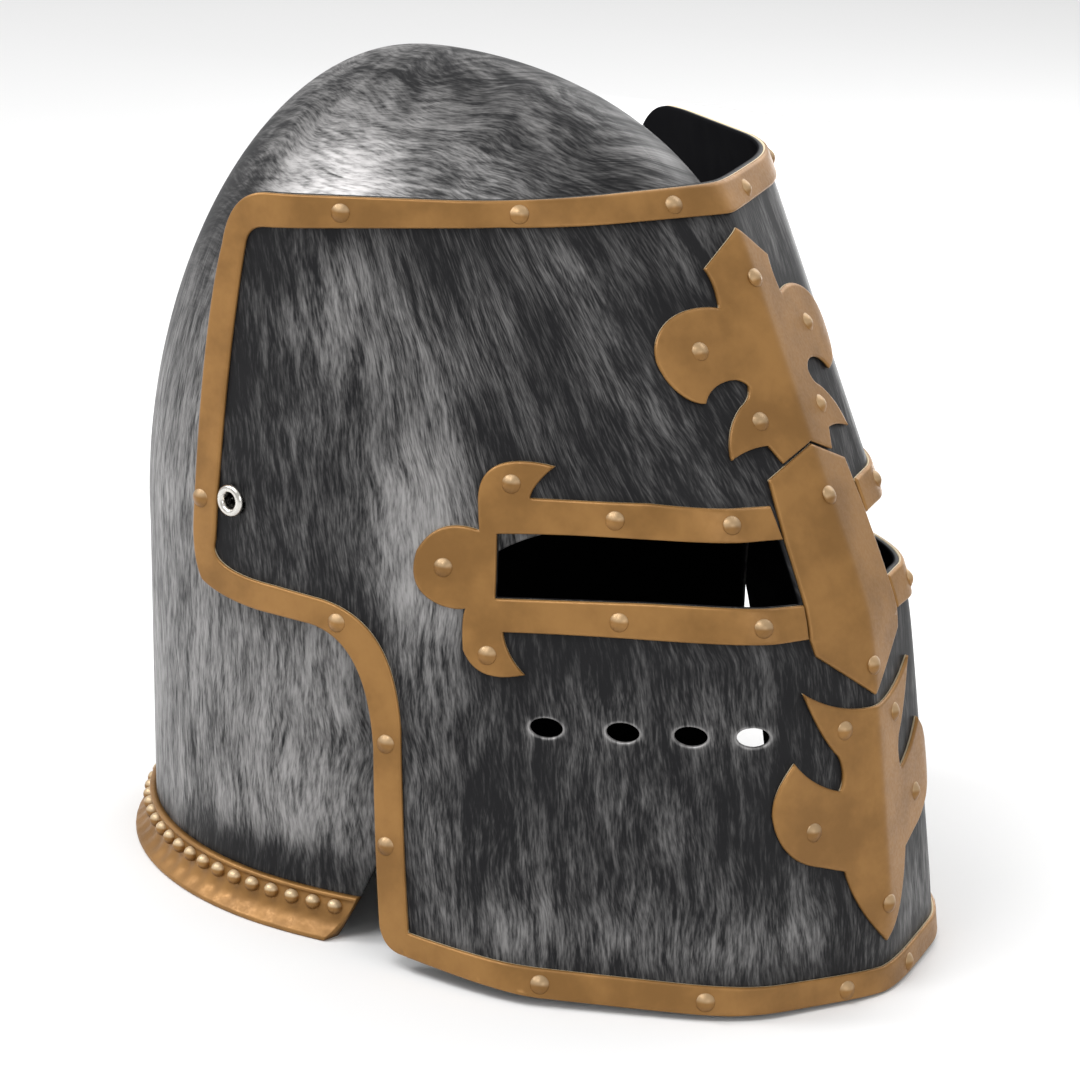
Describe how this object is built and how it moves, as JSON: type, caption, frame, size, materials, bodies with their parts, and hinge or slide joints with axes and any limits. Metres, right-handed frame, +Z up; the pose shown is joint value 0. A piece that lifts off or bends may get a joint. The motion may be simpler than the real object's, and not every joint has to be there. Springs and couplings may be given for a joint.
{
  "type": "costume knight's great helm with a hinged visor",
  "caption": "Rounded plastic skull with a beaded neck band and a wrap-round ridged visor with eye slots, vents and raised gold trim, turning up on temple eyelets.",
  "frame": {"origin": "on the surface that the helmet stands on, at the middle of its width and of its length", "axes": "+Z up, the face towards -Y, the wearer's left towards +X; the mirror plane is x = 0"},
  "size_m": [0.2006, 0.2688, 0.2459],
  "materials": {
    "brushed_plastic": "near-black moulded plastic dry-brushed with silver paint in fine streaks, satin",
    "gold_paint": "antique gold paint on raised moulded trim, satin, with darker lower edges",
    "nickel": "nickel-plated tubular eyelet"
  },
  "bodies": {
    "skull": {"skull_shell": "brushed_plastic", "neck_band": "gold_paint", "pivot_eyelet_left": "nickel", "pivot_eyelet_right": "nickel"},
    "visor": {"border_rivet_left_1": "gold_paint", "border_rivet_left_10": "gold_paint", "border_rivet_left_2": "gold_paint", "border_rivet_left_3": "gold_paint", "border_rivet_left_4": "gold_paint", "border_rivet_left_5": "gold_paint", "border_rivet_left_6": "gold_paint", "border_rivet_left_7": "gold_paint", "border_rivet_left_8": "gold_paint", "border_rivet_left_9": "gold_paint", "border_rivet_right_1": "gold_paint", "border_rivet_right_10": "gold_paint", "border_rivet_right_2": "gold_paint", "border_rivet_right_3": "gold_paint", "border_rivet_right_4": "gold_paint", "border_rivet_right_5": "gold_paint", "border_rivet_right_6": "gold_paint", "border_rivet_right_7": "gold_paint", "border_rivet_right_8": "gold_paint", "border_rivet_right_9": "gold_paint", "centre_plate": "gold_paint", "eye_frame_left": "gold_paint", "eye_frame_right": "gold_paint", "eye_rivet_left_1": "gold_paint", "eye_rivet_left_2": "gold_paint", "eye_rivet_left_3": "gold_paint", "eye_rivet_left_4": "gold_paint", "eye_rivet_left_5": "gold_paint", "eye_rivet_left_6": "gold_paint", "eye_rivet_left_7": "gold_paint", "eye_rivet_right_1": "gold_paint", "eye_rivet_right_2": "gold_paint", "eye_rivet_right_3": "gold_paint", "eye_rivet_right_4": "gold_paint", "eye_rivet_right_5": "gold_paint", "eye_rivet_right_6": "gold_paint", "eye_rivet_right_7": "gold_paint", "fleur_rivet_left_1": "gold_paint", "fleur_rivet_left_2": "gold_paint", "fleur_rivet_left_3": "gold_paint", "fleur_rivet_left_4": "gold_paint", "fleur_rivet_right_1": "gold_paint", "fleur_rivet_right_2": "gold_paint", "fleur_rivet_right_3": "gold_paint", "fleur_rivet_right_4": "gold_paint", "lower_fleur": "gold_paint", "ridge_rivet_lower_tip": "gold_paint", "ridge_rivet_nose_tip": "gold_paint", "ridge_rivet_nose_top": "gold_paint", "ridge_rivet_upper_tip": "gold_paint", "upper_fleur": "gold_paint", "visor_border": "gold_paint", "visor_shell": "brushed_plastic"}
  },
  "joints": [
    {"name": "visor_hinge", "type": "hinge", "parent": "skull", "child": "visor", "pos_m": [0, 0.0443, 0.12637], "axis": [-1, 0, 0], "range_deg": [0, 80]}
  ]
}
